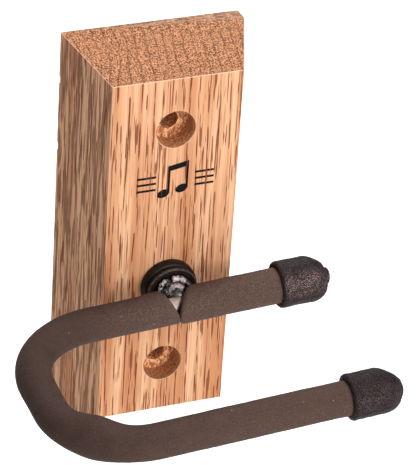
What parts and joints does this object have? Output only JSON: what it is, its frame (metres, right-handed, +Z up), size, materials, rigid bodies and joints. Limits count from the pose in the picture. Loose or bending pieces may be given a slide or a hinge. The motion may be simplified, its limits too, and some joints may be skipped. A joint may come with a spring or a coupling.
{
  "type": "wall guitar hanger",
  "caption": "Bevelled oak wall block with a level, foam-covered steel U yoke, open to one side, that swivels on a bushed stud.",
  "frame": {"origin": "middle of the block's flat back face, on the wall, half way between the two wall screws", "axes": "+Y points into the wall, +Z up along the block, +X towards the open end of the yoke"},
  "size_m": [0.118, 0.1141, 0.145],
  "materials": {
    "oak": "sanded, thin satin oil",
    "black_nylon": "moulded, satin",
    "black_steel": "black oxide, satin",
    "weld_steel": "bare weld, lumpy",
    "rod_steel": "bright drawn",
    "zinc_steel": "clear zinc plated",
    "insert_nylon": "natural nylon",
    "brown_foam": "matt closed-cell foam",
    "black_cap": "matt, grainy dipped rubber"
  },
  "bodies": {
    "block": {"wood_block": "oak", "front_bush": "black_nylon", "rear_bush": "black_nylon"},
    "yoke": {"swivel_stud": "zinc_steel", "thrust_washer": "black_steel", "weld_bead": "weld_steel", "yoke_rod": "rod_steel", "long_sleeve": "brown_foam", "short_sleeve": "brown_foam", "rear_cap": "black_cap", "front_cap": "black_cap", "rear_washer": "zinc_steel", "lock_nut": "zinc_steel", "nut_insert": "insert_nylon"}
  },
  "joints": [
    {"name": "yoke_swivel", "type": "hinge", "parent": "block", "child": "yoke", "pos_m": [0, -0.0254, -0.0135], "axis": [0, -1, 0], "continuous": true}
  ]
}
